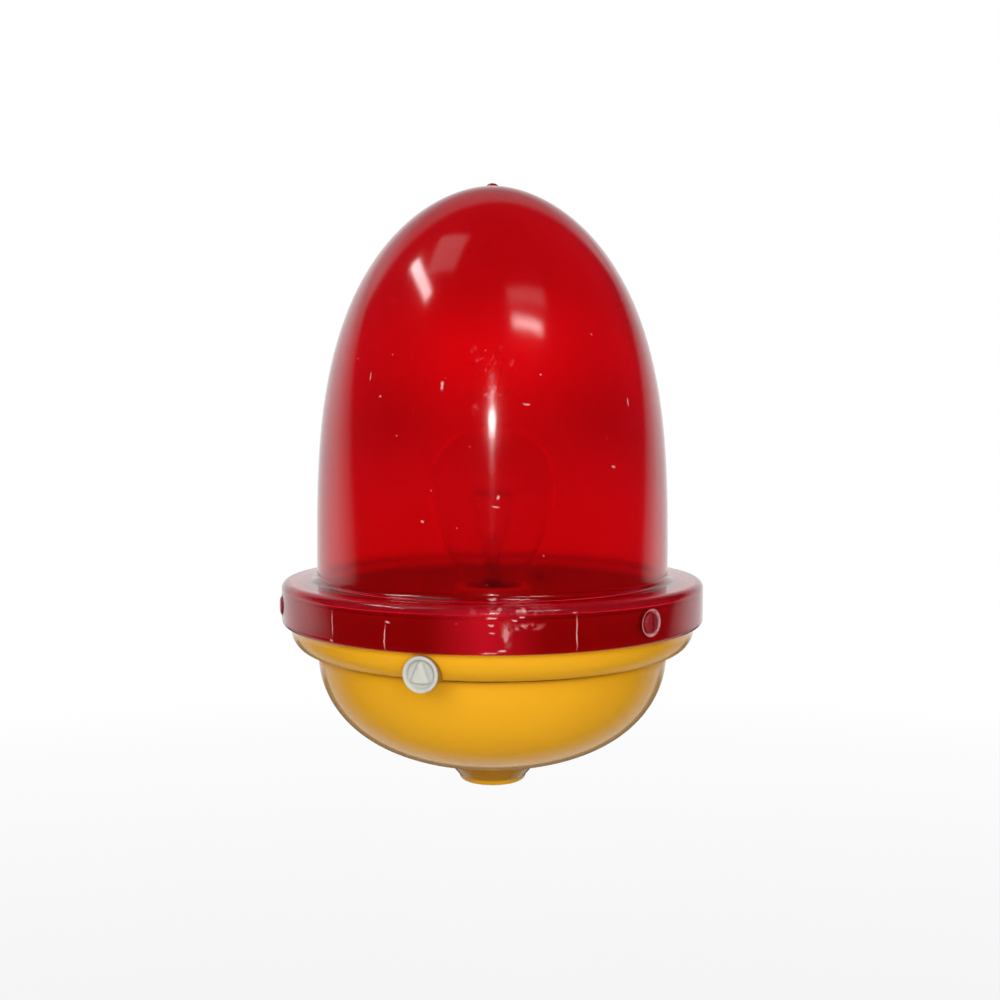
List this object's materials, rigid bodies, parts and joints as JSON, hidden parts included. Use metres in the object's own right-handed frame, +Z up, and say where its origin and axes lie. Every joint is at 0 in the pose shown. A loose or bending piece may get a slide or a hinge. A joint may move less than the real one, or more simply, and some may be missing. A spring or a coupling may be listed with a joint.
{
  "type": "aviation beacon lamp",
  "caption": "Obstruction lamp with a tall red domed lens on a hinged collar, closed by a quarter-turn latch over a cast bowl with a conduit boss.",
  "frame": {"origin": "centre of the conduit entry's mouth, on the underside of the boss", "axes": "+Z up along the lamp's axis, -Y towards the latch knob, +Y towards the hinge, +X to the right seen from the latch"},
  "size_m": [0.2, 0.2012, 0.2843],
  "materials": {
    "yellow_paint": "gloss",
    "red_lens": "gloss",
    "black_rubber": "matte",
    "pale_rubber": "matte",
    "white_nylon": "satin",
    "plain_steel": "satin",
    "red_lacquer": "gloss",
    "galvanised_sheet": "satin",
    "porcelain": "gloss",
    "brass": "satin",
    "terminal_plastic": "satin",
    "brown_insulation": "satin",
    "blue_insulation": "satin",
    "green_yellow_insulation": "satin",
    "lamp_cap_metal": "satin",
    "cap_insulator": "gloss",
    "clear_glass": "polished",
    "filament_wire": "satin"
  },
  "bodies": {
    "base": {"base_bowl": "yellow_paint", "rim_gasket": "black_rubber", "keeper_pin": "plain_steel", "hinge_pin": "plain_steel", "hinge_clips": "plain_steel", "lamp_bracket": "galvanised_sheet", "bracket_screws": "plain_steel", "holder_body": "porcelain", "holder_shell": "brass", "holder_contact": "brass", "holder_screws": "plain_steel", "terminal_block": "terminal_plastic", "terminal_screws": "brass", "block_screws": "plain_steel", "earth_screw": "brass", "live_lead": "brown_insulation", "neutral_lead": "blue_insulation", "earth_lead": "green_yellow_insulation"},
    "lens_carrier": {"collar_ring": "yellow_paint", "lens_gasket": "pale_rubber", "lens_dome": "red_lens", "lens_screws": "red_lacquer", "latch_bush": "brass"},
    "latch": {"latch_knob": "white_nylon", "latch_shaft": "plain_steel", "latch_spring": "plain_steel", "latch_cam": "plain_steel", "latch_nut": "plain_steel"},
    "lamp_lift": {"bulb_contact": "lamp_cap_metal"},
    "lamp": {"bulb_insulator": "cap_insulator", "bulb_cap": "lamp_cap_metal", "bulb_glass": "clear_glass", "bulb_stem": "clear_glass", "bulb_wires": "filament_wire", "bulb_filament": "filament_wire"}
  },
  "joints": [
    {"name": "lens_open", "type": "hinge", "parent": "base", "child": "lens_carrier", "pos_m": [0, 0.0935, 0.059], "axis": [-1, 0, 0], "range_deg": [0, 105]},
    {"name": "latch_turn", "type": "hinge", "parent": "lens_carrier", "child": "latch", "pos_m": [0, -0.09, 0.0694], "axis": [0, 1, 0], "range_deg": [0, 90]},
    {"name": "bulb_rise", "type": "slide", "parent": "base", "child": "lamp_lift", "axis": [0, 0, 1], "range_m": [0, 0.0253]},
    {"name": "bulb_turn", "type": "hinge", "parent": "lamp_lift", "child": "lamp", "pos_m": [0, 0, 0.08], "axis": [0, 0, 1], "range_deg": [0, 2520]}
  ],
  "couplings": [
    {"joint": "bulb_rise", "follows": "bulb_turn", "m_per_rad": 0.00057296}
  ]
}
